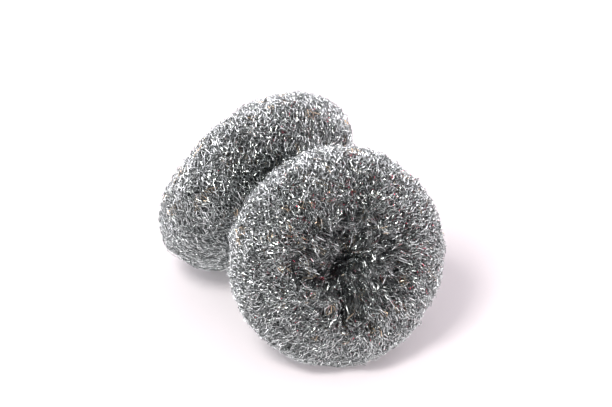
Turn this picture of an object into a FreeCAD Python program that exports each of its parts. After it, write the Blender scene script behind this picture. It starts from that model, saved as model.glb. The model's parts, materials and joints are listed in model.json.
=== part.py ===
"""Two knitted-wire pot scrubbers that lean on each other, in millimetres.

Each scrubber is a knitted metal sleeve, rolled up like a sock into a fat ring. From the outside in,
the roll is a cover turn, a second turn, a third turn and a core. The sleeve's free end is gathered
behind the throat of the ring and closed by a wire tie.

+Z is up, and both scrubbers stand on z = 0. The origin is the middle of the floor that they cover.
The front scrubber's face looks towards -Y, and the rear one leans on its back.
"""
import FreeCAD
import Part
import Sketcher
import math
import os

DRIVING_SIZES = {
    # The roll: its core, the turns of loose mesh round it, the room between two turns, and the throat
    "front_core_diameter": 19.3,
    "rear_core_diameter": 20.3,
    "mesh_thickness": 2.4,
    "turn_clearance": 0.3,
    "throat_diameter": 9.0,
    # The knit of the cover turn: its courses, which are rows of loops that stand out from it
    "course_count": 44,
    "course_width": 1.7,
    "course_height": 0.8,
    # The sleeve's free end, drawn together behind the throat
    "pucker_depth": 3.0,
    "neck_diameter": 4.6,
    "neck_depth": 6.0,
    "frill_diameter": 9.0,
    "frill_length": 3.5,
    # The wire tie round the neck
    "tie_wire_diameter": 1.0,
    "tie_clearance": 0.1,
    "tie_tail_length": 4.0,
    # How the scrubbers stand: angles in degrees, counted from upright and facing -Y
    "front_lean_angle": 22.0,
    "front_swivel_angle": 17.5,
    "rear_lean_angle": -25.0,
    "rear_swivel_angle": 42.0,
    "rear_bearing_angle": 122.5,
    "pad_clearance": 0.3,
    # How deep the floor flattens a rim
    "foot_depth": 1.0,
}

PAD_NAMES = ["front", "rear"]
TURN_NAMES = ["cover_turn", "second_turn", "third_turn"]

SIDEWAYS = FreeCAD.Vector(1, 0, 0)
AWAY = FreeCAD.Vector(0, 1, 0)
UP = FreeCAD.Vector(0, 0, 1)

# A sketch's own numbers for its axes and for the points of an edge
HORIZONTAL_AXIS, VERTICAL_AXIS = range(-1, -3, -1)
START, END, CENTRE = range(1, 4)

doc = FreeCAD.newDocument("pot_scrubbers")
sheet = doc.addObject("Spreadsheet::Sheet", "sizes")
for row, (alias, size) in enumerate(DRIVING_SIZES.items(), start=1):
    sheet.set("A%d" % row, alias)
    sheet.set("B%d" % row, str(size))
    sheet.setAlias("B%d" % row, alias)
doc.recompute()


def size_of(alias):
    """The number that the sheet holds under an alias."""
    return float(getattr(sheet, alias))


# Sizes that several pieces share, each as a number and as the formula that binds it to the sheet

mesh = size_of("mesh_thickness")
pitch = mesh + size_of("turn_clearance")
pitch_formula = "(sizes.mesh_thickness + sizes.turn_clearance)"
throat = size_of("throat_diameter") / 2
neck = size_of("neck_diameter") / 2
tie_wire = size_of("tie_wire_diameter") / 2
half_neck_length = tie_wire + size_of("tie_clearance")
half_neck_formula = "(sizes.tie_wire_diameter / 2 + sizes.tie_clearance)"


def roll_radius(pad, turn):
    """Outer radius of a turn of the roll, on its face side. The turn after the last is the core."""
    return size_of(pad + "_core_diameter") / 2 + (len(TURN_NAMES) - turn) * pitch


def roll_formula(pad, turn):
    return "sizes.%s_core_diameter / 2 + %d * %s" % (pad, len(TURN_NAMES) - turn, pitch_formula)


def ring_radius(pad):
    """Radius of the circle that the face side of the roll is centred on."""
    return throat + roll_radius(pad, 0)


def ring_formula(pad):
    return "sizes.throat_diameter / 2 + " + roll_formula(pad, 0)


# Standing the scrubbers on the floor, one against the other


class Stance:
    """Where a scrubber stands, and its skin as seen from its centre.

    The roll is a spiral of half rounds. On the face side they are centred on one ring, and on the
    back side on a ring that is half a pitch wider, with a tube that is half a pitch thinner.
    """

    def __init__(self, pad):
        swivel = FreeCAD.Rotation(UP, size_of(pad + "_swivel_angle"))
        stand_up = FreeCAD.Rotation(SIDEWAYS, 90 - size_of(pad + "_lean_angle"))
        self.rotation = swivel.multiply(stand_up)
        self.axis = self.rotation.multVec(UP)
        self.face_side = (ring_radius(pad), roll_radius(pad, 0))
        self.back_side = (ring_radius(pad) + pitch / 2, roll_radius(pad, 0) - pitch / 2)
        self.centre = UP * (self.reach(-UP) - size_of("foot_depth"))

    def side_at(self, height):
        """Ring and tube radius on the side where a height above the mid-plane lies."""
        return self.face_side if height >= 0 else self.back_side

    def reach(self, direction):
        """How far the skin reaches from the centre along a unit direction."""
        along = self.axis.dot(direction)
        ring, tube = self.side_at(along)
        return ring * math.sqrt(1 - along * along) + tube

    def skin_point(self, ring_angle, tube_angle):
        """A point of the skin, from the angle round the ring and the angle round the tube."""
        height = math.sin(tube_angle)
        ring, tube = self.side_at(height)
        out = ring + tube * math.cos(tube_angle)
        point = FreeCAD.Vector(out * math.cos(ring_angle), out * math.sin(ring_angle), tube * height)
        return self.centre + self.rotation.multVec(point)

    def distance(self, point):
        """Distance from the skin to a point outside it."""
        offset = point - self.centre
        height = offset.dot(self.axis)
        out = (offset - self.axis * height).Length
        ring, tube = self.side_at(height)
        return math.hypot(out - ring, height) - tube

    def placement(self):
        return FreeCAD.Placement(self.centre, self.rotation)


def least_gap(front, rear):
    """Least gap between two skins, searched on a grid that closes in on the nearest point."""
    steps = 12
    finest_angle = 0.001
    span = math.pi
    best = (math.inf, 0.0, 0.0)
    while span > finest_angle:
        _, ring_middle, tube_middle = best
        for i in range(-steps, steps + 1):
            for j in range(-steps, steps + 1):
                ring_angle = ring_middle + span * i / steps
                tube_angle = tube_middle + span * j / steps
                gap = rear.distance(front.skin_point(ring_angle, tube_angle))
                best = min(best, (gap, ring_angle, tube_angle))
        span = span / 4
    return best[0]


def stand_scrubbers():
    """Stands both scrubbers on the floor, slides the rear one up to the front one and centres them."""
    front = Stance("front")
    rear = Stance("rear")
    bearing = math.radians(size_of("rear_bearing_angle"))
    towards_rear = SIDEWAYS * math.cos(bearing) + AWAY * math.sin(bearing)
    above_origin = rear.centre
    finest_step = 0.001
    near = 0.0
    far = 2 * (front.reach(towards_rear) + rear.reach(-towards_rear))
    while far - near > finest_step:
        middle = (near + far) / 2
        rear.centre = above_origin + towards_rear * middle
        if least_gap(front, rear) < size_of("pad_clearance"):
            near = middle
        else:
            far = middle
    both = [front, rear]
    for side in (SIDEWAYS, AWAY):
        highest = max(stance.centre.dot(side) + stance.reach(side) for stance in both)
        lowest = min(stance.centre.dot(side) - stance.reach(-side) for stance in both)
        for stance in both:
            stance.centre = stance.centre - side * ((highest + lowest) / 2)
    return {"front": front, "rear": rear}


# Sections of the roll, each swept once round the ring's axis


def new_section(body):
    """A sketch on the body's upright plane: across is away from the ring's axis, up is along it."""
    sketch = body.newObject("Sketcher::SketchObject", body.Name + "_section")
    upright = next(plane for plane in body.Origin.OriginFeatures if plane.Role == "XZ_Plane")
    sketch.AttachmentSupport = (upright, [""])
    sketch.MapMode = "FlatFace"
    return sketch


def add_arc(sketch, middle, radius, first_degrees, last_degrees):
    """An arc round a middle on the section's horizontal axis."""
    circle = Part.Circle(SIDEWAYS * middle, UP, radius)
    edge = Part.ArcOfCircle(circle, math.radians(first_degrees), math.radians(last_degrees))
    return sketch.addGeometry(edge)


def add_line(sketch, first, last):
    return sketch.addGeometry(Part.LineSegment(FreeCAD.Vector(*first), FreeCAD.Vector(*last)))


def put_on_axis(sketch, axis, *points):
    for edge, point in points:
        sketch.addConstraint(Sketcher.Constraint("PointOnObject", edge, point, axis))


def join(sketch, *pairs):
    """Makes pairs of points meet."""
    for first, second in pairs:
        sketch.addConstraint(Sketcher.Constraint("Coincident", *first, *second))


def bind(sketch, name, formula, kind, *place_and_value):
    """Adds a named dimension and binds it to the sheet."""
    index = sketch.addConstraint(Sketcher.Constraint(kind, *place_and_value))
    sketch.renameConstraint(index, name)
    sketch.setExpression("Constraints." + name, formula)


def revolve(body, sketch):
    """Turns a section once round the ring's axis."""
    revolution = body.newObject("PartDesign::Revolution", body.Name + "_revolution")
    revolution.Profile = sketch
    revolution.ReferenceAxis = (sketch, ["V_Axis"])
    revolution.Angle = 360
    body.Tip = revolution


def rolled_turn(pad, turn, name, row_height=0.0, row_height_formula="0"):
    """One turn of the sleeve: it starts at the throat, goes over the face and ends a pitch deeper.

    Where rows of loops stand out from it, it is thinner by their height.
    """
    body = doc.addObject("PartDesign::Body", name)
    sketch = new_section(body)
    thickness = mesh - row_height
    face_middle = ring_radius(pad)
    back_middle = face_middle + pitch / 2
    outer = roll_radius(pad, turn) - row_height
    inner = outer - thickness
    first_edge = face_middle - outer
    last_edge = first_edge + pitch

    outer_face = add_arc(sketch, face_middle, outer, 0, 180)
    inner_face = add_arc(sketch, face_middle, inner, 0, 180)
    outer_back = add_arc(sketch, back_middle, outer - pitch / 2, 180, 360)
    inner_back = add_arc(sketch, back_middle, inner - pitch / 2, 180, 360)
    first_end = add_line(sketch, (first_edge, 0), (first_edge + thickness, 0))
    last_end = add_line(sketch, (last_edge, 0), (last_edge + thickness, 0))

    join(sketch, ((outer_face, CENTRE), (inner_face, CENTRE)), ((outer_back, CENTRE), (inner_back, CENTRE)))
    join(sketch, ((outer_face, START), (outer_back, END)), ((inner_face, START), (inner_back, END)))
    join(sketch, ((outer_face, END), (first_end, START)), ((inner_face, END), (first_end, END)))
    join(sketch, ((outer_back, START), (last_end, START)), ((inner_back, START), (last_end, END)))
    put_on_axis(sketch, HORIZONTAL_AXIS, (outer_face, CENTRE), (outer_back, CENTRE))
    put_on_axis(sketch, HORIZONTAL_AXIS, (outer_face, START), (inner_face, START))
    put_on_axis(sketch, HORIZONTAL_AXIS, (first_end, START), (first_end, END))
    put_on_axis(sketch, HORIZONTAL_AXIS, (last_end, START), (last_end, END))

    bind(sketch, "ring_radius", ring_formula(pad), "DistanceX", outer_face, CENTRE, face_middle)
    bind(sketch, "roll_radius", roll_formula(pad, turn) + " - " + row_height_formula, "Radius",
         outer_face, outer)
    bind(sketch, "mesh_thickness", "sizes.mesh_thickness - " + row_height_formula, "Distance",
         first_end, thickness)
    bind(sketch, "half_pitch", pitch_formula + " / 2", "DistanceX",
         outer_face, CENTRE, outer_back, CENTRE, pitch / 2)
    revolve(body, sketch)
    return body


def knitted_cover(pad, stance, name):
    """The cover turn with its courses: rows of loops round the ring, half sunk in the turn."""
    turn = rolled_turn(pad, 0, name + "_turn", size_of("course_height"), "sizes.course_height")
    turn.Placement = stance.placement()
    count = round(size_of("course_count"))
    half_width = size_of("course_width") / 2
    pieces = [turn]
    for number in range(count):
        degrees = 360 * (number + 0.5) / count
        middle_formula, tube_formula = ring_formula(pad), roll_formula(pad, 0)
        _, tube = stance.face_side
        if degrees > 180:
            middle_formula += " + %s / 2" % pitch_formula
            tube_formula += " - %s / 2" % pitch_formula
            _, tube = stance.back_side
        row = doc.addObject("Part::Torus", "%s_row_%d" % (name, number + 1))
        row.setExpression("Radius1", "%s + (%s - sizes.course_width / 2) * cos(%.4f deg)"
                          % (middle_formula, tube_formula, degrees))
        row.setExpression("Radius2", "sizes.course_width / 2")
        level = UP * ((tube - half_width) * math.sin(math.radians(degrees)))
        row.Placement = stance.placement().multiply(FreeCAD.Placement(level, FreeCAD.Rotation()))
        pieces.append(row)
    cover = doc.addObject("Part::MultiFuse", name)
    cover.Shapes = pieces
    return cover


def core_roll(pad, name):
    """The start of the roll: the tight ring that the first turn goes round."""
    body = doc.addObject("PartDesign::Body", name)
    sketch = new_section(body)
    turn = len(TURN_NAMES)
    face_middle = ring_radius(pad)
    radius = roll_radius(pad, turn)
    first_edge = face_middle - radius

    face = add_arc(sketch, face_middle, radius, 0, 180)
    back = add_arc(sketch, face_middle + pitch / 2, radius - pitch / 2, 180, 360)
    step = add_line(sketch, (first_edge, 0), (first_edge + pitch, 0))

    join(sketch, ((face, START), (back, END)), ((face, END), (step, START)), ((back, START), (step, END)))
    put_on_axis(sketch, HORIZONTAL_AXIS, (face, CENTRE), (back, CENTRE))
    put_on_axis(sketch, HORIZONTAL_AXIS, (face, START), (step, START), (step, END))
    bind(sketch, "ring_radius", ring_formula(pad), "DistanceX", face, CENTRE, face_middle)
    bind(sketch, "roll_radius", roll_formula(pad, turn), "Radius", face, radius)
    bind(sketch, "half_pitch", pitch_formula + " / 2", "DistanceX", face, CENTRE, back, CENTRE, pitch / 2)
    revolve(body, sketch)
    return body


def bowl_arc(sketch, rim, bottom, depth):
    """An arc that leaves a rim straight down and reaches a smaller radius at a depth."""
    middle = (rim * rim - bottom * bottom - depth * depth) / (2 * (rim - bottom))
    last_degrees = math.degrees(math.atan2(-depth, bottom - middle))
    return add_arc(sketch, middle, rim - middle, last_degrees, 0)


def gathered_end(name):
    """The sleeve's free end: a bowl from the cover's edge to the tied neck, and a frill past it."""
    body = doc.addObject("PartDesign::Body", name)
    sketch = new_section(body)
    neck_top = size_of("neck_depth") - half_neck_length
    neck_foot = size_of("neck_depth") + half_neck_length
    frill = size_of("frill_diameter") / 2
    frill_foot = neck_foot + size_of("frill_length")
    pucker = size_of("pucker_depth")

    inside = bowl_arc(sketch, throat, 0, pucker)
    outside = bowl_arc(sketch, throat + mesh, neck, neck_top)
    seam = add_line(sketch, (throat, 0), (throat + mesh, 0))
    neck_side = add_line(sketch, (neck, -neck_top), (neck, -neck_foot))
    frill_side = add_line(sketch, (neck, -neck_foot), (frill, -frill_foot))
    frill_end = add_line(sketch, (frill, -frill_foot), (0, -frill_foot))
    middle = add_line(sketch, (0, -frill_foot), (0, -pucker))

    join(sketch, ((inside, END), (seam, START)), ((seam, END), (outside, END)))
    join(sketch, ((outside, START), (neck_side, START)), ((neck_side, END), (frill_side, START)))
    join(sketch, ((frill_side, END), (frill_end, START)))
    join(sketch, ((frill_end, END), (middle, START)), ((middle, END), (inside, START)))
    put_on_axis(sketch, HORIZONTAL_AXIS, (inside, CENTRE), (outside, CENTRE))
    put_on_axis(sketch, HORIZONTAL_AXIS, (seam, START), (seam, END))
    put_on_axis(sketch, VERTICAL_AXIS, (middle, START), (middle, END))
    sketch.addConstraint(Sketcher.Constraint("Vertical", neck_side))
    sketch.addConstraint(Sketcher.Constraint("Horizontal", frill_end))

    bind(sketch, "throat_radius", "sizes.throat_diameter / 2", "DistanceX", seam, START, throat)
    bind(sketch, "mesh_thickness", "sizes.mesh_thickness", "Distance", seam, mesh)
    bind(sketch, "pucker_depth", "sizes.pucker_depth", "DistanceY", middle, END, seam, START, pucker)
    bind(sketch, "neck_radius", "sizes.neck_diameter / 2", "DistanceX", neck_side, START, neck)
    bind(sketch, "neck_top", "sizes.neck_depth - " + half_neck_formula, "DistanceY",
         neck_side, START, seam, START, neck_top)
    bind(sketch, "neck_length", "2 * " + half_neck_formula, "Distance", neck_side, 2 * half_neck_length)
    bind(sketch, "frill_radius", "sizes.frill_diameter / 2", "Distance", frill_end, frill)
    bind(sketch, "frill_length", "sizes.frill_length", "DistanceY",
         frill_side, END, frill_side, START, size_of("frill_length"))
    revolve(body, sketch)
    return body


def closing_tie(stance, name):
    """A loop of wire round the neck, with its two ends laid side by side."""
    level = UP * -size_of("neck_depth")
    loop_radius = neck + half_neck_length
    loop = doc.addObject("Part::Torus", name + "_loop")
    loop.setExpression("Radius1", "sizes.neck_diameter / 2 + " + half_neck_formula)
    loop.setExpression("Radius2", "sizes.tie_wire_diameter / 2")
    loop.Placement = stance.placement().multiply(FreeCAD.Placement(level, FreeCAD.Rotation()))
    pieces = [loop]
    outwards = FreeCAD.Rotation(UP, SIDEWAYS)
    half_spread = 0.8 * tie_wire
    for number, side in enumerate((-half_spread, half_spread), start=1):
        tail = doc.addObject("Part::Cylinder", "%s_tail_%d" % (name, number))
        tail.setExpression("Radius", "sizes.tie_wire_diameter / 2")
        tail.setExpression("Height", "sizes.tie_tail_length")
        root = level + SIDEWAYS * loop_radius + AWAY * side
        tail.Placement = stance.placement().multiply(FreeCAD.Placement(root, outwards))
        pieces.append(tail)
    tie = doc.addObject("Part::MultiFuse", name)
    tie.Shapes = pieces
    return tie


def room_above_floor(pad, stance):
    """A block that stands on the floor, with room for the whole scrubber in it."""
    block = doc.addObject("Part::Box", pad + "_room_above_floor")
    width = 6 * ring_radius(pad)
    for side in ("Length", "Width", "Height"):
        block.setExpression(side, "6 * (%s)" % ring_formula(pad))
    block.Placement.Base = FreeCAD.Vector(stance.centre.x - width / 2, stance.centre.y - width / 2, 0)
    return block


def flattened(pad, stance, round_cover):
    """The cover turn as it stands: the floor has pressed its rim flat."""
    cover = doc.addObject("Part::Common", pad + "_cover_turn")
    cover.Base = round_cover
    cover.Tool = room_above_floor(pad, stance)
    return cover


def build_scrubber(pad, stance):
    """All the pieces of one scrubber, from the outside in."""
    round_cover = knitted_cover(pad, stance, pad + "_round_cover")
    inner_turns = [rolled_turn(pad, turn, pad + "_" + TURN_NAMES[turn]) for turn in (1, 2)]
    core = core_roll(pad, pad + "_core_roll")
    gathered = gathered_end(pad + "_gathered_end")
    for body in [*inner_turns, core, gathered]:
        body.Placement = stance.placement()
    cover = flattened(pad, stance, round_cover)
    tie = closing_tie(stance, pad + "_closing_tie")
    pieces = [cover, *inner_turns, core, gathered, tie]
    for piece in pieces:
        piece.Label = piece.Name
    return pieces


def check_and_write(pieces):
    """Stops if any object failed, then writes one file for each piece."""
    failed = [o.Label for o in doc.Objects if "Invalid" in o.State or "Error" in o.State]
    if failed:
        raise RuntimeError("these objects failed: " + ", ".join(failed))
    for piece in pieces:
        if piece.Shape.isNull() or not piece.Shape.isValid() or len(piece.Shape.Solids) != 1:
            raise RuntimeError(piece.Label + " isn't one valid solid")
    for pad in PAD_NAMES:
        cover = doc.getObject(pad + "_cover_turn")
        if cover.Shape.Volume >= cover.Base.Shape.Volume:
            raise RuntimeError(cover.Label + " has no flat to stand on")
    os.makedirs("parts", exist_ok=True)
    for piece in pieces:
        piece.Shape.exportStep("parts/%s.step" % piece.Label)
        print("%-20s %9.1f mm3" % (piece.Label, piece.Shape.Volume))


stances = stand_scrubbers()
all_pieces = []
for pad in PAD_NAMES:
    all_pieces += build_scrubber(pad, stances[pad])
doc.recompute()
check_and_write(all_pieces)
for pad, stance in stances.items():
    print(pad, "diameter %.2f mm," % (2 * (ring_radius(pad) + roll_radius(pad, 0))),
          "centre", [round(v, 3) for v in stance.centre], "axis", [round(v, 5) for v in stance.axis])
print("gap between the scrubbers: %.3f mm" % least_gap(stances["front"], stances["rear"]))
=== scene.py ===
# %% [markdown]
# # Two knitted-wire pot scrubbers
# Each scrubber is a sleeve of knitted flat wire, rolled up like a sock into a fat ring. The sleeve's
# free end is gathered behind the throat of the ring and tied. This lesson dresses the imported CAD
# model: it knits the wire, gathers and ties the ends, and lights the pair on a white table.

# %% Load the fixed frame
import json
import math

import bpy
from mathutils import Euler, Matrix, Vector

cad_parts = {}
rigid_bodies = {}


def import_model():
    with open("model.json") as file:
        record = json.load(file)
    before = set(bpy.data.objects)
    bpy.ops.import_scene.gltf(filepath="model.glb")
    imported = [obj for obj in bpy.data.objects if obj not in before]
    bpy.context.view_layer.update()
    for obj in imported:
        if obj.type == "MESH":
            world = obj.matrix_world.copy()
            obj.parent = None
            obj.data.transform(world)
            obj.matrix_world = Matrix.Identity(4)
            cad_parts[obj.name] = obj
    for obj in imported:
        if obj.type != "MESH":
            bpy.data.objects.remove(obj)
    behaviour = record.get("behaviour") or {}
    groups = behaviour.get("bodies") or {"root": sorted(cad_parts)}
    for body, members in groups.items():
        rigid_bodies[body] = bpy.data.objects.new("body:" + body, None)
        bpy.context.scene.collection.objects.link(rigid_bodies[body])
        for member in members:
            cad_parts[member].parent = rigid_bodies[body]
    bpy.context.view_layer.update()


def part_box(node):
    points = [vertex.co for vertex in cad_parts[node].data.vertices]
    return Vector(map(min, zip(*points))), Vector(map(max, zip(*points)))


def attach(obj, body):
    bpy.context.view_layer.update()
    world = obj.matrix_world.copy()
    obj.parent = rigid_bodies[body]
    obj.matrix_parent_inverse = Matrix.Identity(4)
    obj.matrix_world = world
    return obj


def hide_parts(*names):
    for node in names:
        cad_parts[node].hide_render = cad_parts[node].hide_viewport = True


for leftover in list(bpy.data.objects):
    bpy.data.objects.remove(leftover)
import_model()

# %% [markdown]
# ## Where the scrubbers stand
# A rolled ring is described by two circles: the ring itself, and the round section that runs along
# it. Because the sleeve is rolled in a spiral, the section's back half sits half a pitch further out
# and is half a pitch thinner than its face half. The stance angles repeat the CAD model's driving
# sizes, and the centre of each ring is read from the frame's own boxes, so nothing is fitted by eye.

# %% Sizes of the roll, in metres
MILLIMETRE = 0.001
THROAT_RADIUS = 4.5 * MILLIMETRE
TURN_PITCH = 2.7 * MILLIMETRE
TURNS = 3
AXES = ((1, 0, 0), (0, 1, 0), (0, 0, 1))


class Scrubber:
    """The rolled ring of one scrubber. Its core is given in mm and its angles in degrees."""

    def __init__(self, name, core_diameter, lean, swivel):
        self.name = name
        self.body = name + "_pad"
        self.core_radius = core_diameter * MILLIMETRE / 2
        self.face_tube = self.core_radius + TURNS * TURN_PITCH
        self.face_ring = THROAT_RADIUS + self.face_tube
        self.back_tube = self.face_tube - TURN_PITCH / 2
        self.back_ring = self.face_ring + TURN_PITCH / 2
        self.turn = Euler((math.radians(90 - lean), 0, math.radians(swivel)))
        self.axis = self.turn.to_matrix() @ Vector((0, 0, 1))
        self.centre = self.find_centre()

    def reach(self, direction, depth):
        """How far a turn at a depth under the skin reaches from the centre."""
        along = self.axis.dot(direction)
        ring, tube = self.back_ring, self.back_tube
        if along >= 0:
            ring, tube = self.face_ring, self.face_tube
        return ring * math.sqrt(1 - along * along) + tube - depth

    def find_centre(self):
        """The centre, from the box of the second turn, which nothing cuts."""
        _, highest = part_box(self.name + "_second_turn")
        steps = [self.reach(Vector(axis), TURN_PITCH) for axis in AXES]
        return Vector(highest) - Vector(steps)

    def stance(self):
        """Where the scrubber stands and how it is turned, as inputs of a tree."""
        return {"Centre": self.centre, "Turn": Vector(self.turn)}


front = Scrubber("front", core_diameter=19.3, lean=22.0, swivel=17.5)
rear = Scrubber("rear", core_diameter=20.3, lean=-25.0, swivel=42.0)
SCRUBBERS = [front, rear]
for scrubber in SCRUBBERS:
    print(scrubber.name, "centre in mm:", [round(v / MILLIMETRE, 2) for v in scrubber.centre])

# %% [markdown]
# ## Node maths as Python maths
# Both the knit and its finish are worked out by nodes. A formula of twenty nodes is hard to read as
# links, so one small class wraps a socket: Python's own operators add the Math nodes, and one method
# adds any other node, with its settings first and then its sockets.


# %% The class that wraps a socket
class Term:
    """One socket of a node tree, used like a number in Python."""

    def __init__(self, tree, socket=None):
        self.tree = tree
        self.socket = socket

    def node(self, kind, settings=None, values=None, output=0):
        """Adds a node: first its settings, then the values or links of its sockets."""
        added = self.tree.nodes.new(kind)
        for name, setting in (settings or {}).items():
            setattr(added, name, setting)
        for key, value in (values or {}).items():
            socket = find_socket(added.inputs, key)
            if isinstance(value, Term):
                self.tree.links.new(value.socket, socket)
            else:
                socket.default_value = value
        return Term(self.tree, find_socket(added.outputs, output))

    def maths(self, operation, *others):
        return self.node("ShaderNodeMath", {"operation": operation}, dict(enumerate((self, *others))))

    def vector(self, operation, *others):
        return self.node("ShaderNodeVectorMath", {"operation": operation}, dict(enumerate((self, *others))))

    def scaled(self, factor):
        return self.node("ShaderNodeVectorMath", {"operation": "SCALE"}, {0: self, "Scale": factor})

    def __add__(self, other):
        return self.maths("ADD", other)

    __radd__ = __add__

    def __mul__(self, other):
        return self.maths("MULTIPLY", other)

    __rmul__ = __mul__

    def __sub__(self, other):
        return self.maths("SUBTRACT", other)

    def __rsub__(self, other):
        return self.node("ShaderNodeMath", {"operation": "SUBTRACT"}, {0: other, 1: self})

    def __truediv__(self, other):
        return self.maths("DIVIDE", other)


def find_socket(sockets, key):
    """A socket by its number, or else by its identifier or name."""
    if isinstance(key, int):
        return sockets[key]
    by_identifier = [socket for socket in sockets if socket.identifier == key]
    return (by_identifier or [socket for socket in sockets if socket.name == key])[0]


# %% Short forms for the formulas that follow
HALF = 0.5
MIDDLE_GREY = (HALF, HALF, HALF)


def sine(angle):
    return angle.maths("SINE")


def cosine(angle):
    return angle.maths("COSINE")


def point_of(x, y, z):
    return x.node("ShaderNodeCombineXYZ", values={0: x, 1: y, 2: z})


def ramp(value, first, last):
    """0 below first and 1 above last, with a smooth step between them."""
    settings = {"interpolation_type": "SMOOTHSTEP"}
    return value.node("ShaderNodeMapRange", settings, {"Value": value, "From Min": first, "From Max": last})


# %% [markdown]
# ## The finish of the wire
# The wire is bright flat steel, so most of its colour is what it reflects. Three things still change
# along it. Its colour is painted in brighter and darker stretches: painted glints where the flat wire
# would face a light, and painted shade where it would turn edge-on. A few stretches have a warm tan
# tarnish, and small crimps break a long reflection into dots and strokes. The crimps could be modelled,
# but that takes many more points along the wire, so they turn the shading normal instead. All of it
# follows the wire, so it is read from a number that the knit stores along it.
#
# In a real roll so many wires lie under the cover that little light comes back from them. The model
# has fewer wires, so its deeper plies and its core are given darker steel, as painted shade.

# %% How the steel changes along the wire, counted in stitches
TAN_TARNISH = (0.62, 0.50, 0.36, 1)
# Painted glints: along the wire the base colour swings between a glint colour and a painted dark colour
PAINTED_GLINTS_PER_STITCH = 2.6
PAINTED_GLINT_RANGE = (0.42, 0.66)
TARNISHES_PER_STITCH = 0.35
TARNISH_RANGE = (0.82, 0.88)
TARNISH_START = 400.0
CRIMPS_PER_STITCH = 5.0
CRIMP_DEPTH = 1.0


def noise_along(along, rate, detail, output=0):
    """Noise that changes along the wire, at a rate for each stitch."""
    values = {"W": along, "Scale": rate, "Detail": detail}
    return along.node("ShaderNodeTexNoise", {"noise_dimensions": "1D"}, values, output)


def blend(factor, first, second):
    """The colour at a factor from a first colour to a second one."""
    values = {"Factor_Float": factor, "A_Color": first, "B_Color": second}
    return factor.node("ShaderNodeMix", {"data_type": "RGBA"}, values, "Result_Color")


def crimped_normal(along):
    """The direction that the wire's surface faces, turned by its crimps."""
    crimp = noise_along(along, CRIMPS_PER_STITCH, detail=1.0, output="Color")
    bend = crimp.vector("SUBTRACT", MIDDLE_GREY).scaled(CRIMP_DEPTH)
    surface = along.node("ShaderNodeNewGeometry", output="Normal")
    return surface.vector("ADD", bend).vector("NORMALIZE")


def wire_finish(name, bright, painted_dark, roughness, spread):
    """Flat steel wire with painted glints and painted shade. Its darker stretches are rougher than the
    given roughness, by up to the spread.
    """
    material = bpy.data.materials.new(name)
    material.use_nodes = True
    tree = material.node_tree
    shader = tree.nodes["Principled BSDF"]
    shader.inputs["Metallic"].default_value = 1.0
    along = Term(tree).node("ShaderNodeAttribute", {"attribute_name": "along"}, output="Fac")
    painted_glints = noise_along(along, PAINTED_GLINTS_PER_STITCH, detail=2.0)
    tarnish = noise_along(along + TARNISH_START, TARNISHES_PER_STITCH, detail=0.0)
    # The base colour, with painted glints and painted shade along the wire
    steel = blend(ramp(painted_glints, *PAINTED_GLINT_RANGE), painted_dark, bright)
    changing = {
        "Base Color": blend(ramp(tarnish, *TARNISH_RANGE), steel, TAN_TARNISH),
        "Roughness": roughness + spread * (1 - painted_glints),
        "Normal": crimped_normal(along),
    }
    for socket_name, term in changing.items():
        tree.links.new(term.socket, shader.inputs[socket_name])
    return material


# %% Materials of the mesh and the tie
# Each finish pairs the colour of its painted glints with the darker colour painted between them
LIGHT_STEEL = (0.83, 0.877, 0.868, 1)
PAINTED_DARK_STEEL = (0.46, 0.49, 0.488, 1)
# The shaded and inner steels are darker copies of the cover's steel: painted shade of the deeper plies and
# the core
PAINTED_SHADE_STEEL = (0.54, 0.57, 0.568, 1)
PAINTED_DARK_SHADE_STEEL = (0.31, 0.327, 0.326, 1)
INNER_PAINTED_SHADE_STEEL = (0.3, 0.32, 0.32, 1)
INNER_PAINTED_DARK_SHADE_STEEL = (0.14, 0.15, 0.15, 1)
TIE_STEEL = (0.70, 0.70, 0.69, 1)
PAINTED_DARK_TIE_STEEL = (0.55, 0.55, 0.55, 1)

cover_finish = wire_finish("cover_mesh", LIGHT_STEEL, PAINTED_DARK_STEEL, roughness=0.15, spread=0.2)
painted_shade_finish = wire_finish("painted_shade_mesh", PAINTED_SHADE_STEEL, PAINTED_DARK_SHADE_STEEL, roughness=0.25, spread=0.2)
inner_painted_shade_finish = wire_finish("inner_mesh", INNER_PAINTED_SHADE_STEEL, INNER_PAINTED_DARK_SHADE_STEEL, roughness=0.35, spread=0.2)
tie_finish = wire_finish("tie_wire", TIE_STEEL, PAINTED_DARK_TIE_STEEL, roughness=0.2, spread=0.15)
finishes = (cover_finish, painted_shade_finish, inner_painted_shade_finish, tie_finish)
print("finishes:", [material.name for material in finishes])

# %% [markdown]
# ## The knit
# A knitted tube is a single wire. It runs round and round the ring, one course above the other, and
# at each stitch it makes a loop that hooks into the course below. Modelling stitches one by one and
# copying them would leave open ends, so the whole wire is one formula: a line of points is bent into
# a spiral of loops, laid on the roll, crumpled by noise and given a flat section.

# %% Helpers that start and end a tree
TREE_KINDS = {float: "NodeSocketFloat", int: "NodeSocketInt", Vector: "NodeSocketVector",
              bpy.types.Material: "NodeSocketMaterial"}


def new_tree(name, sizes):
    """A Geometry Nodes tree with a named input for each size, and those inputs as terms."""
    tree = bpy.data.node_groups.new(name, "GeometryNodeTree")
    for size_name, value in sizes.items():
        tree.interface.new_socket(size_name, in_out="INPUT", socket_type=TREE_KINDS[type(value)])
    tree.interface.new_socket("Geometry", in_out="OUTPUT", socket_type="NodeSocketGeometry")
    entry = tree.nodes.new("NodeGroupInput")
    return tree, {size_name: Term(tree, entry.outputs[size_name]) for size_name in sizes}


def end_tree(geometry, finish):
    """Ends a tree with real geometry that has its material."""
    real = geometry.node("GeometryNodeRealizeInstances", values={"Geometry": geometry})
    dressed = real.node("GeometryNodeSetMaterial", values={"Geometry": real, "Material": finish})
    leave = dressed.tree.nodes.new("NodeGroupOutput")
    dressed.tree.links.new(dressed.socket, leave.inputs["Geometry"])


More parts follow.
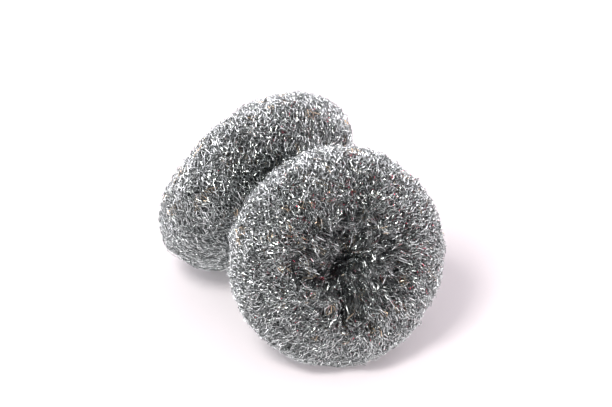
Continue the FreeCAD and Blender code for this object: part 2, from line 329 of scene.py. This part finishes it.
# %% Helpers that run a tree and hand its mesh over
def plain_mesh(source):
    """Puts an object in the scene, takes its evaluated mesh and removes it."""
    bpy.context.scene.collection.objects.link(source)
    evaluated = source.evaluated_get(bpy.context.evaluated_depsgraph_get())
    mesh = bpy.data.meshes.new_from_object(evaluated)
    bpy.data.objects.remove(source)
    return mesh


def new_piece(name, mesh):
    """An object of a mesh, at the origin."""
    piece = bpy.data.objects.new(name, mesh)
    mesh.name = name
    bpy.context.scene.collection.objects.link(piece)
    return piece


def grow(name, tree, sizes):
    """Runs a tree once and keeps its result as a plain mesh object."""
    source = bpy.data.objects.new(name + "_source", bpy.data.meshes.new(name + "_source"))
    modifier = source.modifiers.new("grow", "NODES")
    modifier.node_group = tree
    for socket in tree.interface.items_tree:
        if socket.in_out == "INPUT":
            modifier[socket.identifier] = sizes[socket.name]
    return new_piece(name, plain_mesh(source))


def hand_over(piece, pad, node):
    """Lets a piece ride on its scrubber in place of a CAD node."""
    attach(piece, pad.body)
    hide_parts(pad.name + "_" + node)
    triangles = sum(len(face.vertices) - 2 for face in piece.data.polygons)
    print(piece.name, "has", triangles, "triangles")


# %% Random moves of the wire
NOISE_TO_UNIT = 8.0
SEEDS_PER_SCRUBBER = 100


def crumple(position, feature, seed):
    """A smooth random push of about one unit in each direction, for features of a size."""
    values = {"Vector": position, "W": seed, "Scale": 1 / feature, "Detail": 1.0}
    noise = position.node("ShaderNodeTexNoise", {"noise_dimensions": "4D"}, values, "Color")
    return noise.vector("SUBTRACT", MIDDLE_GREY).scaled(NOISE_TO_UNIT)


def wander(along, rate, seed):
    """A smooth random number of about one unit that changes along the wire."""
    values = {"Vector": point_of(along * rate, seed, 0.0), "Scale": 1.0, "Detail": 0.0}
    noise = along.node("ShaderNodeTexNoise", {"noise_dimensions": "2D"}, values)
    return (noise - HALF) * NOISE_TO_UNIT


def wander_about(along, rate, seed, steps):
    """A random push that changes along the wire, from three such numbers with seeds of their own."""
    return point_of(*[wander(along, rate, seed + step) for step in steps])


def chance(number, seed):
    """A random number from 0 to 1 for each whole number."""
    settings = {"data_type": "FLOAT"}
    return number.node("FunctionNodeRandomValue", settings, {"ID": number, "Seed": seed}, "Value_001")


def own_seed(pad, seed):
    """A seed that differs between the two scrubbers."""
    return seed + SEEDS_PER_SCRUBBER * SCRUBBERS.index(pad)


# %% Places on the roll, and the flat wire
FULL_TURN = 2 * math.pi


def on_roll(ring, radius, ring_angle, tube_angle):
    """A point at an angle round the ring and an angle round its section."""
    out = ring + radius * cosine(tube_angle)
    return point_of(out * cosine(ring_angle), out * sine(ring_angle), radius * sine(tube_angle))


def away_from_roll(ring_angle, tube_angle):
    """The direction straight out of the roll's section."""
    flat = cosine(tube_angle)
    return point_of(flat * cosine(ring_angle), flat * sine(ring_angle), sine(tube_angle))


def turned(vector, turn):
    settings = {"rotation_type": "EULER_XYZ"}
    return vector.node("ShaderNodeVectorRotate", settings, {"Vector": vector, "Rotation": turn})


def placed(position, size):
    """Leans a point of the roll with its scrubber and brings it to the scrubber's place."""
    return turned(position, size["Turn"]).vector("ADD", size["Centre"])


def above_floor(position, clearance):
    """Presses what would reach into the table flat on it."""
    split = position.tree.nodes.new("ShaderNodeSeparateXYZ")
    position.tree.links.new(position.socket, split.inputs[0])
    x, y, z = [Term(position.tree, socket) for socket in split.outputs]
    return point_of(x, y, z.maths("MAXIMUM", clearance))


def flat_wire(count, along, position, normal, tilt, size):
    """A wire of flat section through a row of points."""
    start = Term(count.tree)
    row = start.node("GeometryNodeMeshLine", values={"Count": count})
    wire = start.node("GeometryNodeMeshToCurve", values={"Mesh": row})
    wire = start.node("GeometryNodeStoreNamedAttribute", {"data_type": "FLOAT", "domain": "POINT"},
                      {"Geometry": wire, "Name": "along", "Value": along})
    wire = start.node("GeometryNodeSetPosition", values={"Geometry": wire, "Position": position})
    leaning = turned(normal, size["Turn"])
    wire = start.node("GeometryNodeSetCurveNormal", {"mode": "FREE"}, {"Curve": wire, "Normal": leaning})
    wire = start.node("GeometryNodeSetCurveTilt", values={"Curve": wire, "Tilt": tilt})
    section = start.node("GeometryNodeCurvePrimitiveQuadrilateral",
                         values={"Width": size["Wire thickness"], "Height": size["Wire width"]})
    solid = start.node("GeometryNodeCurveToMesh",
                       values={"Curve": wire, "Profile Curve": section, "Fill Caps": True})
    return start.node("GeometryNodeSetShadeSmooth", values={"Geometry": solid, "Shade Smooth": False})


# %% Sizes of a knitted turn
# Loop width is a share of a stitch and loop height a share of a course. Lump, crease, kink and stray
# are how far the wire is pushed about, and tangle is how much more the first three are in the dimple.
# There the knit also sinks in and its loops slip. Twist and turn over are angles of the flat wire, and
# skew winds the loops round the ring.
KNIT = {
    "Wales": 84,
    "Courses": 44,
    "Points per stitch": 6,
    "Loop width": 0.24,
    "Loop height": 0.75,
    "Loop depth": 0.5 * MILLIMETRE,
    "Depth": 0.6 * MILLIMETRE,
    "Wire width": 0.3 * MILLIMETRE,
    "Wire thickness": 0.08 * MILLIMETRE,
    "Lump": 0.5 * MILLIMETRE,
    "Crease": 0.4 * MILLIMETRE,
    "Kink": 0.3 * MILLIMETRE,
    "Dimple": 1.2 * MILLIMETRE,
    "Stray": 0.18 * MILLIMETRE,
    "Tangle": 3.0,
    "Slip": 7.0 * MILLIMETRE,
    "Raised": 0.75 * MILLIMETRE,
    "Twist": 0.55,
    "Turn over": 0.45,
    "Skew": 0.0,
    "Seed": 1,
    "Roll seed": 1,
    "Floor": 0.35 * MILLIMETRE,
    "Face ring": 1.0,
    "Face tube": 1.0,
    "Back ring": 1.0,
    "Back tube": 1.0,
    "Centre": Vector(),
    "Turn": Vector(),
    "Finish": cover_finish,
}
print("a ply of the cover has", KNIT["Wales"] * KNIT["Courses"], "loops")

# %% [markdown]
# ## Pleats and the dimple
# A squeezed scrubber has folds that run from its face into the throat, and its loops are pushed
# together in the dimple. Both could be sculpted by hand, but then they would differ from ply to ply.
# So they are part of the formula: an angle of 0 round the section is the ring's outer rim, 90 degrees
# is the middle of its face, and 180 is the throat.

# %% Folds and moves of the loops
PLEATS_BEGIN = (5, 70)
PLEATS_END = (95, 150)
DIMPLE_EDGE = (70, 120)
RAISED_ABOVE = 0.86
SLIP_SEED = 7
# A pleat is its angle round the ring and its half width, both in degrees, and its depth in mm
FRONT_PLEATS = [(75, 9, 4.5), (28, 9, 1.6), (184, 16, 4.0), (228, 14, 3.5), (259, 8, 2.4), (320, 9, 1.4),
                (130, 9, 1.2)]
REAR_PLEATS = [(20, 9, 1.4), (65, 8, 1.2), (110, 9, 1.6), (170, 8, 1.2), (215, 9, 1.6), (290, 9, 1.4)]


def between(angle, degrees):
    """0 before the first of two angles and 1 after the second."""
    first, last = degrees
    return ramp(angle, math.radians(first), math.radians(last))


def pleated(lift, pleats, ring_angle, tube_angle):
    """Lowers the knit in its pleats, which lie on the face."""
    on_face = between(tube_angle, PLEATS_BEGIN) - between(tube_angle, PLEATS_END)
    for degrees, half_width, depth in pleats:
        sharpness = 1 / math.radians(half_width) ** 2
        fold = ((cosine(ring_angle - math.radians(degrees)) - 1) * sharpness).maths("EXPONENT")
        lift = lift - fold * on_face * depth * MILLIMETRE
    return lift


def lift_of(phase, loop_number, size):
    """How far the wire lies above the skin: loops hook up and down, and about one in seven is raised."""
    loop_top = (cosine(phase) + 1) * HALF
    is_raised = chance(loop_number, size["Seed"]).maths("GREATER_THAN", RAISED_ABOVE)
    return is_raised * loop_top * size["Raised"] - size["Depth"] - cosine(phase * 2) * size["Loop depth"]


# %% Crumpling of the wire, with the sizes of its features in mm
LUMP_FEATURE = 26
CREASE_FEATURE = 8
KINK_FEATURE = 3.2
STRAYS_PER_STITCH = 2.3
STRAY_SEEDS = (11, 23, 37)
TURN_OVERS_PER_STITCH = 0.7
TURN_OVER_SEED = 51
TWISTS_PER_STITCH = 3.3
TWIST_SEED = 61


def crumpled(smooth, stitch, in_dimple, size):
    """Moves the wire by lumps and creases of the whole roll, its own kinks, and stray bends."""
    bent = smooth
    moves = (("Lump", LUMP_FEATURE, size["Roll seed"]), ("Crease", CREASE_FEATURE, size["Roll seed"]),
             ("Kink", KINK_FEATURE, size["Seed"]))
    for move, feature, seed in moves:
        push = crumple(smooth, feature * MILLIMETRE, seed + feature)
        bent = bent.vector("ADD", push.scaled(size[move] * (1 + in_dimple * size["Tangle"])))
    stray = wander_about(stitch, STRAYS_PER_STITCH, size["Seed"], STRAY_SEEDS)
    return bent.vector("ADD", stray.scaled(size["Stray"] * (1 + in_dimple)))


def twisted(stitch, size):
    """How far the flat wire is turned about its own line, in slow turns and quick ones."""
    slow = wander(stitch, TURN_OVERS_PER_STITCH, size["Seed"] + TURN_OVER_SEED) * size["Turn over"]
    return slow + wander(stitch, TWISTS_PER_STITCH, size["Seed"] + TWIST_SEED) * size["Twist"]


# %% The tree of a knitted turn
def knit_tree(name, pleats):
    """The tree of one knitted turn: a wire that makes a loop at every stitch."""
    tree, size = new_tree(name, KNIT)
    stitch = Term(tree).node("GeometryNodeInputIndex") / size["Points per stitch"]
    phase = stitch * FULL_TURN
    loop_number = (stitch + HALF).maths("FLOOR")

    # The wire's place on the roll: the angle round the ring, and the angle round its section
    sway = sine(phase * 2) * size["Loop width"]
    course = stitch / size["Wales"] + cosine(phase) * size["Loop height"]
    tube_angle = math.pi - course * FULL_TURN / size["Courses"]
    ring_angle = (stitch + sway) * FULL_TURN / size["Wales"] + tube_angle * size["Skew"]
    face = tube_angle.maths("GREATER_THAN", 0.0)
    ring = size["Back ring"] + face * (size["Face ring"] - size["Back ring"])
    tube = size["Back tube"] + face * (size["Face tube"] - size["Back tube"])

    # Loops and pleats lift and lower it, and in the dimple the loops slip past one another
    lift = pleated(lift_of(phase, loop_number, size), pleats, ring_angle, tube_angle)
    in_dimple = between(tube_angle, DIMPLE_EDGE)
    slipped = (chance(loop_number, size["Seed"] + SLIP_SEED) - HALF) * size["Slip"]
    radius = tube + lift - in_dimple * (size["Dimple"] + slipped)

    smooth = on_roll(ring, radius, ring_angle, tube_angle)
    bent = crumpled(smooth, stitch, in_dimple, size)
    position = above_floor(placed(bent, size), size["Floor"])
    count = size["Wales"] * size["Courses"] * size["Points per stitch"] + 1
    normal = away_from_roll(ring_angle, tube_angle)
    wire = flat_wire(count, stitch, position, normal, twisted(stitch, size), size)
    end_tree(wire, size["Finish"])
    return tree


knit_trees = {"front": knit_tree("front_knit", FRONT_PLEATS), "rear": knit_tree("rear_knit", REAR_PLEATS)}
print("the front knit tree has", len(knit_trees["front"].nodes), "nodes")

# %% [markdown]
# ## Plies and turns
# The cover of a real roll is many wires deep. One ply painted on the solid would show nothing between
# its loops, so every ply is knitted by the same tree with other sizes: its depth under the skin, its
# skew and its own seed. The lumps and creases come from a seed that all plies of a scrubber share, so
# the plies bulge together.

# %% Knit the turns of both scrubbers
# The third ply, the underlay and the deeper turns have darker steel, as painted shade
PLIES = {
    "cover_knit": ("cover_turn", "cover_mesh", {"Depth": 0.1 * MILLIMETRE, "Seed": 1}),
    "cover_second_ply": ("cover_turn", "cover_mesh", {"Depth": 0.4 * MILLIMETRE, "Seed": 2, "Skew": 0.35}),
    "cover_third_ply": ("cover_turn", "cover_mesh",
                        {"Depth": 0.9 * MILLIMETRE, "Seed": 3, "Skew": -0.5, "Finish": painted_shade_finish}),
    "cover_underlay": ("cover_turn", "cover_mesh",
                       {"Depth": 1.6 * MILLIMETRE, "Seed": 6, "Skew": 0.6, "Finish": inner_painted_shade_finish}),
    "second_knit": ("second_turn", "inner_mesh",
                    {"Depth": 3.4 * MILLIMETRE, "Seed": 4, "Courses": 32, "Skew": -0.3,
                     "Finish": inner_painted_shade_finish}),
    "third_knit": ("third_turn", "inner_mesh",
                   {"Depth": 6.0 * MILLIMETRE, "Seed": 5, "Wales": 60, "Courses": 18,
                    "Wire width": 0.6 * MILLIMETRE, "Finish": inner_painted_shade_finish}),
}
for pad in SCRUBBERS:
    roll = {"Face ring": pad.face_ring, "Face tube": pad.face_tube, "Back ring": pad.back_ring,
            "Back tube": pad.back_tube}
    for ply, (node, slot, changes) in PLIES.items():
        sizes = {**KNIT, **roll, **pad.stance(), **changes}
        for seed_name in ("Seed", "Roll seed"):
            sizes[seed_name] = own_seed(pad, sizes[seed_name])
        piece = grow(pad.name + "_" + ply, knit_trees[pad.name], sizes)
        hand_over(piece, pad, node)

# %% [markdown]
# ## The core of the roll
# The sleeve was rolled up from a tight start, which still shows as a dark mass between the loops. It
# could be a solid ring with a rough surface, but light falls between real wires and gets lost there.
# So the core is one flat wire too, wound round and round the ring until it closes.

# %% Wind the cores
CORE = {
    "Windings": 160,
    "Points per winding": 18,
    "Core radius": 1.0,
    "Ring": 1.0,
    "Wire width": 1.8 * MILLIMETRE,
    "Wire thickness": 0.2 * MILLIMETRE,
    "Kink": 0.5 * MILLIMETRE,
    "Seed": 5,
    "Centre": Vector(),
    "Turn": Vector(),
    # Darker steel, as painted shade deep in the roll
    "Finish": inner_painted_shade_finish,
}
CORE_CLEARANCE = 0.6 * MILLIMETRE
CORE_KINK_FEATURE = 4 * MILLIMETRE
CORE_TILTS_PER_WINDING = 2.1
CORE_TILT = 0.2


def core_tree():
    """The tree of a wire that is wound round a ring."""
    tree, size = new_tree("core_winding", CORE)
    winding = Term(tree).node("GeometryNodeInputIndex") / size["Points per winding"]
    tube_angle = winding * FULL_TURN
    ring_angle = tube_angle / size["Windings"]
    smooth = on_roll(size["Ring"], size["Core radius"], ring_angle, tube_angle)
    push = crumple(smooth, CORE_KINK_FEATURE, size["Seed"])
    position = placed(smooth.vector("ADD", push.scaled(size["Kink"])), size)
    count = size["Windings"] * size["Points per winding"] + 1
    tilt = wander(winding, CORE_TILTS_PER_WINDING, size["Seed"]) * CORE_TILT
    wire = flat_wire(count, winding, position, away_from_roll(ring_angle, tube_angle), tilt, size)
    end_tree(wire, size["Finish"])
    return tree


winding_tree = core_tree()
for pad in SCRUBBERS:
    changes = {"Core radius": pad.core_radius - CORE_CLEARANCE, "Ring": pad.face_ring,
               "Seed": own_seed(pad, CORE["Seed"])}
    piece = grow(pad.name + "_core_winding", winding_tree, {**CORE, **pad.stance(), **changes})
    hand_over(piece, pad, "core_roll")

# %% [markdown]
# ## The gathered end
# Behind the throat the sleeve's free end is drawn together to a neck and opens in a small frill. A
# cone with a mesh pattern would look closed and smooth, so the loops of the knit are drawn out long:
# one wire runs from the throat to the frill and back again, all round the neck.

# %% Sizes of a gathered end, with places along it as shares of its length
GATHER = {
    "Runs": 400,
    "Points per run": 12,
    "Circuits": 91.0,
    "Throat radius": 7.4 * MILLIMETRE,
    "Neck radius": 1.9 * MILLIMETRE,
    "Frill radius": 4.3 * MILLIMETRE,
    "Top": 7.5 * MILLIMETRE,
    "Length": 17.3 * MILLIMETRE,
    "Wire width": 0.23 * MILLIMETRE,
    "Wire thickness": 0.08 * MILLIMETRE,
    "Kink": 0.5 * MILLIMETRE,
    "Stray": 0.4 * MILLIMETRE,
    "Twist": 0.9,
    "Seed": 8,
    "Centre": Vector(),
    "Turn": Vector(),
    "Finish": cover_finish,
}
THROAT_TO_NECK = (0.0, 0.6)
NECK_TO_FRILL = (0.72, 1.05)
LEAST_SPREAD = 0.25
THROAT_SHARE = 0.65
THROAT_WANDER = 0.35
THROAT_WANDERS_PER_RUN = 0.6
THROAT_SEED = 31
LEAN_OF_WIRE = 0.3
GATHER_KINK_FEATURE = 3 * MILLIMETRE
GATHER_STRAYS_PER_RUN = 3.1
GATHER_STRAY_SEEDS = (3, 5, 9)
GATHER_TWISTS_PER_RUN = 4.0
GATHER_TWIST_SEED = 21
print("a gathered end has", GATHER["Runs"], "runs of wire")


# %% Gather the ends
def gathered_radius(run, share, size):
    """How far the wire is from the axis, from the throat through the neck to the frill."""
    spread = LEAST_SPREAD + (1 - LEAST_SPREAD) * chance(run.maths("FLOOR"), size["Seed"])
    neck = size["Neck radius"] * spread
    uneven = wander(run, THROAT_WANDERS_PER_RUN, size["Seed"] + THROAT_SEED) * THROAT_WANDER
    throat = size["Throat radius"] * (THROAT_SHARE + uneven)
    drawn_in = throat - (throat - neck) * ramp(share, *THROAT_TO_NECK)
    return drawn_in + (size["Frill radius"] - size["Neck radius"]) * ramp(share, *NECK_TO_FRILL)


def gather_tree():
    """The tree of a wire that runs up and down a gathered sleeve."""
    tree, size = new_tree("gathered_end", GATHER)
    run = Term(tree).node("GeometryNodeInputIndex") / size["Points per run"]
    share = run.maths("PINGPONG", 1.0)
    radius = gathered_radius(run, share, size)
    ring_angle = run * size["Circuits"] * FULL_TURN / size["Runs"]
    along_axis = size["Top"] - size["Length"] * share
    smooth = point_of(radius * cosine(ring_angle), radius * sine(ring_angle), along_axis)
    push = crumple(smooth, GATHER_KINK_FEATURE, size["Seed"])
    bent = smooth.vector("ADD", push.scaled(size["Kink"]))
    stray = wander_about(run, GATHER_STRAYS_PER_RUN, size["Seed"], GATHER_STRAY_SEEDS)
    position = placed(bent.vector("ADD", stray.scaled(size["Stray"])), size)
    count = size["Runs"] * size["Points per run"] + 1
    normal = point_of(cosine(ring_angle), sine(ring_angle), LEAN_OF_WIRE)
    tilt = wander(run, GATHER_TWISTS_PER_RUN, size["Seed"] + GATHER_TWIST_SEED) * size["Twist"]
    wire = flat_wire(count, run, position, normal, tilt, size)
    end_tree(wire, size["Finish"])
    return tree


gathering_tree = gather_tree()
for pad in SCRUBBERS:
    changes = {"Seed": own_seed(pad, GATHER["Seed"])}
    piece = grow(pad.name + "_gathered_loops", gathering_tree, {**GATHER, **pad.stance(), **changes})
    hand_over(piece, pad, "gathered_end")

# %% [markdown]
# ## The closing tie
# A single stiff wire goes round the neck and its two ends are twisted together, as on a bread bag. Its
# path is short and different all along, so it is a plain curve with a round section, made a mesh.

# %% Bend the ties
TIE_LEVEL = -6.0 * MILLIMETRE
TIE_LOOP_RADIUS = 2.9 * MILLIMETRE
TIE_WIRE_RADIUS = 0.45 * MILLIMETRE
TIE_TAIL_LENGTH = 3.9 * MILLIMETRE
TAIL_CLEARANCE = 1.08
TAIL_OFFSET = TIE_WIRE_RADIUS * TAIL_CLEARANCE
TAIL_TWISTS = 1.5
TAIL_POINTS = 18
LOOP_POINTS = 40
TIE_ROUNDING = 3


def tail_point(share, side):
    """A point of one twisted end: share runs from the loop to the tip, side is 1 or -1."""
    angle = share * TAIL_TWISTS * FULL_TURN
    sideways = side * TAIL_OFFSET
    out = TIE_LOOP_RADIUS + share * TIE_TAIL_LENGTH
    return Vector((out, sideways * math.cos(angle), TIE_LEVEL + sideways * math.sin(angle)))


def tie_path():
    """The wire from one tip, round the neck, to the other tip."""
    shares = [step / TAIL_POINTS for step in range(TAIL_POINTS + 1)]
    opening = math.asin(TAIL_OFFSET / TIE_LOOP_RADIUS)
    path = [tail_point(share, 1) for share in reversed(shares)]
    for step in range(1, LOOP_POINTS):
        angle = opening + (FULL_TURN - 2 * opening) * step / LOOP_POINTS
        across = TIE_LOOP_RADIUS * math.cos(angle)
        beside = TIE_LOOP_RADIUS * math.sin(angle)
        path.append(Vector((across, beside, TIE_LEVEL)))
    return path + [tail_point(share, -1) for share in shares]


def bend_tie(pad):
    """The tie of one scrubber, as a mesh object."""
    wire = bpy.data.curves.new(pad.name + "_tie_path", "CURVE")
    wire.dimensions = "3D"
    wire.bevel_depth = TIE_WIRE_RADIUS
    wire.bevel_resolution = TIE_ROUNDING
    wire.use_fill_caps = True
    path = tie_path()
    spline = wire.splines.new("POLY")
    spline.points.add(len(path) - 1)
    turn = pad.turn.to_matrix()
    for point, place in zip(spline.points, path):
        point.co = (*(turn @ place + pad.centre), 1)
    mesh = plain_mesh(bpy.data.objects.new(pad.name + "_tie_source", wire))
    mesh.materials.append(tie_finish)
    return new_piece(pad.name + "_twisted_tie", mesh)


for pad in SCRUBBERS:
    hand_over(bend_tie(pad), pad, "closing_tie")

# %% [markdown]
# ## The white table
# The pair stands on a pale matt sheet that fills the picture. More light would make it white, but would
# also bleach the steel. So the sheet has a little glow of its own, which only the camera and mirrored
# rays see, and which the camera sees stronger far away. The wire mirrors a dark room in front of the
# pair, so the sheet fades to black there for mirrored rays.

# %% The sheet, in metres
TABLE_HALF_WIDTH = 3.0
TABLE_COLOUR = (0.92, 0.88, 0.905, 1)
SHEET_START = -0.14
SHEET_END = -0.45
NEAR_GLOW = 0.12
FAR_GLOW = 0.4
GLOW_RANGE = (0.15, 0.6)
MIRRORED_GLOW = 0.35
CORNER_SIDES = ((-1, -1), (1, -1), (1, 1), (-1, 1))


def showing_rays(tree):
    """1 for rays to the camera, and 1 for rays that metal or glass mirrors or lets through."""
    path = tree.nodes.new("ShaderNodeLightPath")
    rays = ("Is Camera Ray", "Is Glossy Ray", "Is Transmission Ray")
    seen, mirrored, through = [Term(tree, path.outputs[ray]) for ray in rays]
    return seen, mirrored.maths("MAXIMUM", through)


def table_finish():
    """A pale matt sheet that glows a little, and that mirrored rays find dark in front."""
    material = bpy.data.materials.new("white_table")
    material.use_nodes = True
    tree = material.node_tree
    shader = tree.nodes["Principled BSDF"]
    constants = {"Base Color": TABLE_COLOUR, "Roughness": 0.9, "Specular IOR Level": 0.1,
                 "Emission Strength": 1.0}
    for name, value in constants.items():
        shader.inputs[name].default_value = value
    seen, mirrored = showing_rays(tree)
    place = seen.node("ShaderNodeNewGeometry", output="Position")
    distance = place.node("ShaderNodeVectorMath", {"operation": "LENGTH"}, {0: place}, "Value")
    glow = seen * (NEAR_GLOW + FAR_GLOW * ramp(distance, *GLOW_RANGE)) + mirrored * MIRRORED_GLOW
    tree.links.new(glow.socket, shader.inputs["Emission Color"])
    towards_back = place.node("ShaderNodeSeparateXYZ", values={0: place}, output="Y")
    dark = mirrored * (1 - ramp(towards_back, SHEET_END, SHEET_START))
    sheet = dark.node("ShaderNodeMixShader", values={0: dark, 1: Term(tree, shader.outputs[0])})
    tree.links.new(sheet.socket, tree.nodes["Material Output"].inputs["Surface"])
    return material


table_mesh = bpy.data.meshes.new("table")
corners = [(x * TABLE_HALF_WIDTH, y * TABLE_HALF_WIDTH, 0) for x, y in CORNER_SIDES]
table_mesh.from_pydata(corners, [], [(0, 1, 2, 3)])
table_mesh.materials.append(table_finish())
table = bpy.data.objects.new("table", table_mesh)
bpy.context.scene.collection.objects.link(table)
print("the table is", 2 * TABLE_HALF_WIDTH, "m wide")

# %% [markdown]
# ## The light
# Bright wire shows what is around it: a dark room in front, and a bright backdrop behind the table
# that reaches round its sides. Large lamps could be the backdrop, but they would light the table too.
# So the world tells rays apart. Mirrored rays see the room and the backdrop, which is several times as
# bright as white because thin wire shows only slivers of it. The camera sees white, and matt things get
# an even white light. One soft key lamp gives the shadow. Three small front lights put bright points on
# the wire, and a small red lamp at the right gives a few red glints.

# %% The room and the backdrop
WHITE_BACKDROP = 4.5
DARK_ROOM = 0.01
MATT_LEVEL = 0.72
CAMERA_LEVEL = 1.1
BACKDROP_COLOUR = (0.99, 0.93, 0.98, 1)
BACKDROP_SIDE = Vector((-0.1, 0.9, -0.5))
BACKDROP_EDGE = (-0.12, 0.65)
WRAP = 0.42

world = bpy.data.worlds.new("studio")
bpy.context.scene.world = world
world.use_nodes = True
backdrop = world.node_tree.nodes["Background"]
backdrop.inputs["Color"].default_value = BACKDROP_COLOUR
seen, mirrored = showing_rays(world.node_tree)
direction = seen.node("ShaderNodeTexCoord", output="Generated")
facing = direction.node("ShaderNodeVectorMath", {"operation": "DOT_PRODUCT"},
                        {0: direction, 1: BACKDROP_SIDE.normalized()}, "Value")
sideways = direction.node("ShaderNodeSeparateXYZ", values={0: direction}, output="X").maths("ABSOLUTE")
in_backdrop = ramp(facing + sideways * WRAP, *BACKDROP_EDGE)
mirrored_room = DARK_ROOM + (WHITE_BACKDROP - DARK_ROOM) * in_backdrop
brightness = MATT_LEVEL + seen * (CAMERA_LEVEL - MATT_LEVEL) + mirrored * (mirrored_room - MATT_LEVEL)
world.node_tree.links.new(brightness.socket, backdrop.inputs["Strength"])
print("matt things get", MATT_LEVEL, "of white")

# %% The lamps, in metres and watts
LAMP_AIM = Vector((0, 0, 0.03))
FRONT_LIGHT_PLACES = [(0.35, -0.95, 0.4), (-0.4, -0.9, 0.3), (0, -1, 0.12)]
WHITE = (1, 1, 1)
WARM_WHITE = (1, 0.98, 0.95)
RED = (1, 0.05, 0.12)


def soft_lamp(name, place, side, power, colour):
    """A square soft light at a place, facing the scrubbers."""
    lamp = bpy.data.lights.new(name, "AREA")
    lamp.size = side
    lamp.energy = power
    lamp.color = colour
    holder = bpy.data.objects.new(name, lamp)
    holder.location = place
    holder.rotation_euler = (LAMP_AIM - Vector(place)).to_track_quat("-Z", "Y").to_euler()
    bpy.context.scene.collection.objects.link(holder)


soft_lamp("key", (-0.3, -0.42, 0.87), side=0.28, power=5.6, colour=WARM_WHITE)
for number, place in enumerate(FRONT_LIGHT_PLACES, start=1):
    soft_lamp("front_light_%d" % number, place, side=0.06, power=0.3, colour=WHITE)
soft_lamp("warm_fill", (0.75, -0.55, 0.35), side=0.05, power=0.35, colour=RED)
print("lamps:", [lamp.name for lamp in bpy.data.lights])

# %% [markdown]
# ## The camera
# The photo looks down on the pair through a long lens, which hardly shows perspective. The lens could
# be guessed in millimetres, but that means little without the size of the sensor. So its focal length
# is named in pixels of the photo, and the lens follows from the photo's width.

# %% Place the camera
PHOTO_WIDTH = 612
FOCAL_PIXELS = 2439
SENSOR_WIDTH = 36.0
CAMERA_ELEVATION = math.radians(36)
CAMERA_DISTANCE = 0.9
CAMERA_AIM = Vector((2.1, -1.65, 43.0)) * MILLIMETRE

camera_data = bpy.data.cameras.new("camera")
camera_data.sensor_width = SENSOR_WIDTH
camera_data.lens = FOCAL_PIXELS / PHOTO_WIDTH * SENSOR_WIDTH
camera = bpy.data.objects.new("camera", camera_data)
towards_camera = Vector((0, -math.cos(CAMERA_ELEVATION), math.sin(CAMERA_ELEVATION)))
camera.location = CAMERA_AIM + towards_camera * CAMERA_DISTANCE
camera.rotation_euler = Euler((math.pi / 2 - CAMERA_ELEVATION, 0, 0))
bpy.context.scene.collection.objects.link(camera)
bpy.context.scene.camera = camera
bpy.context.scene.view_settings.view_transform = "Standard"
print("lens in mm:", round(camera_data.lens, 1))
